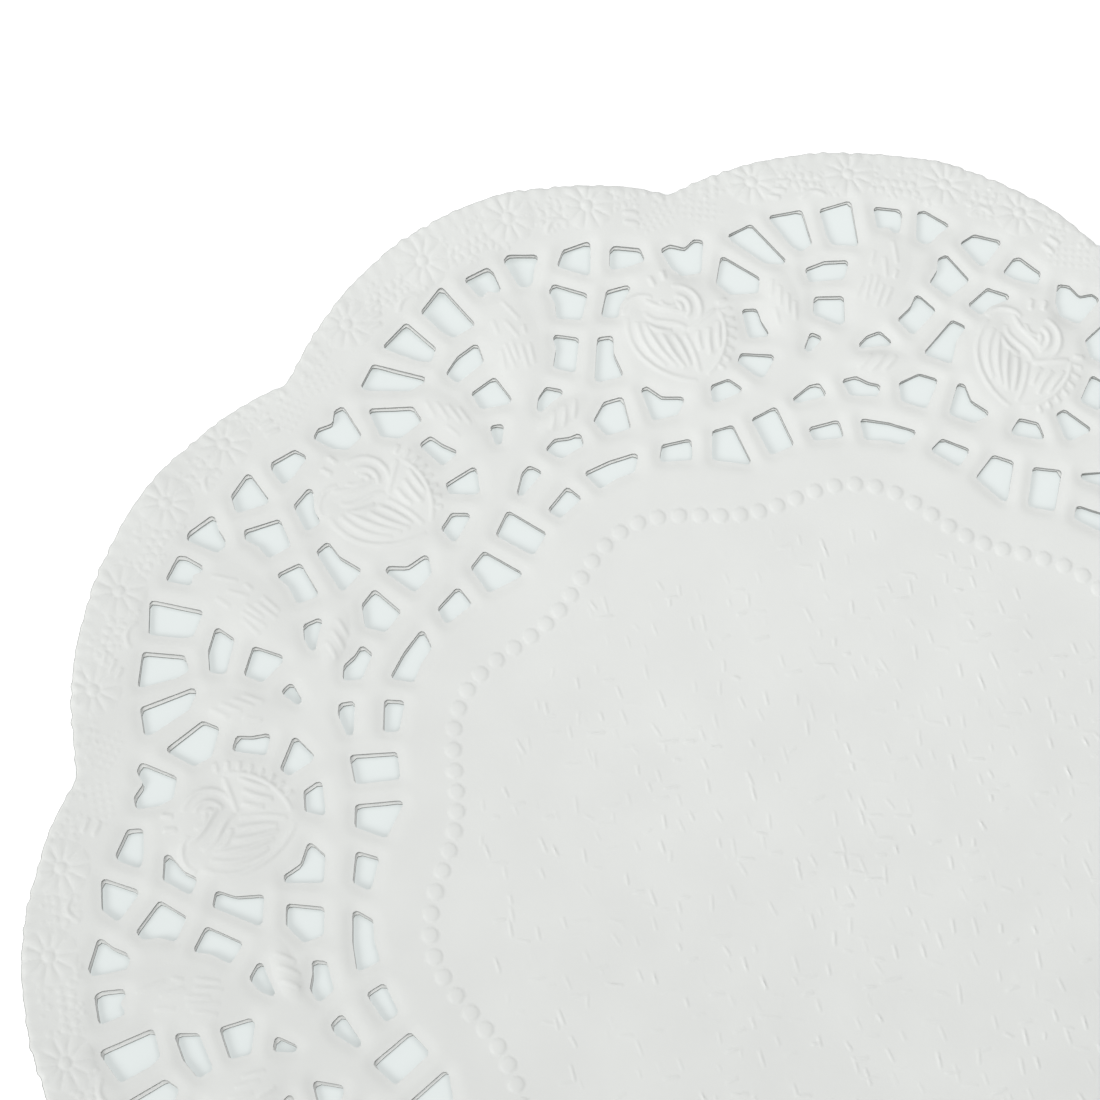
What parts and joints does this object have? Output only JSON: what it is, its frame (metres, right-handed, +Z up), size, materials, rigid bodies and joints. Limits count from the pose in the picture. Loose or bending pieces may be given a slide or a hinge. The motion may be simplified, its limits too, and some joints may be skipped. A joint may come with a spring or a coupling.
{
  "type": "paper lace doily",
  "caption": "Nested pair of round scalloped paper lace doilies with die-cut openings, embossed roses and a plain centre panel.",
  "frame": {"origin": "centre of the lower sheet's underside, on the surface that the pair lies on", "axes": "+Z up, out of the sheets; +Y towards the middle of one scallop; +X to the right of it, through a cusp"},
  "size_m": [0.2308, 0.2372, 0.0015],
  "materials": {
    "white_paper": "matte"
  },
  "bodies": {
    "under_doily": {"under_doily": "white_paper"},
    "top_doily": {"top_doily": "white_paper"}
  },
  "joints": [
    {"name": "top_lift", "type": "slide", "parent": "under_doily", "child": "top_doily", "axis": [0, 0, 1], "range_m": [0, 0.08]}
  ]
}
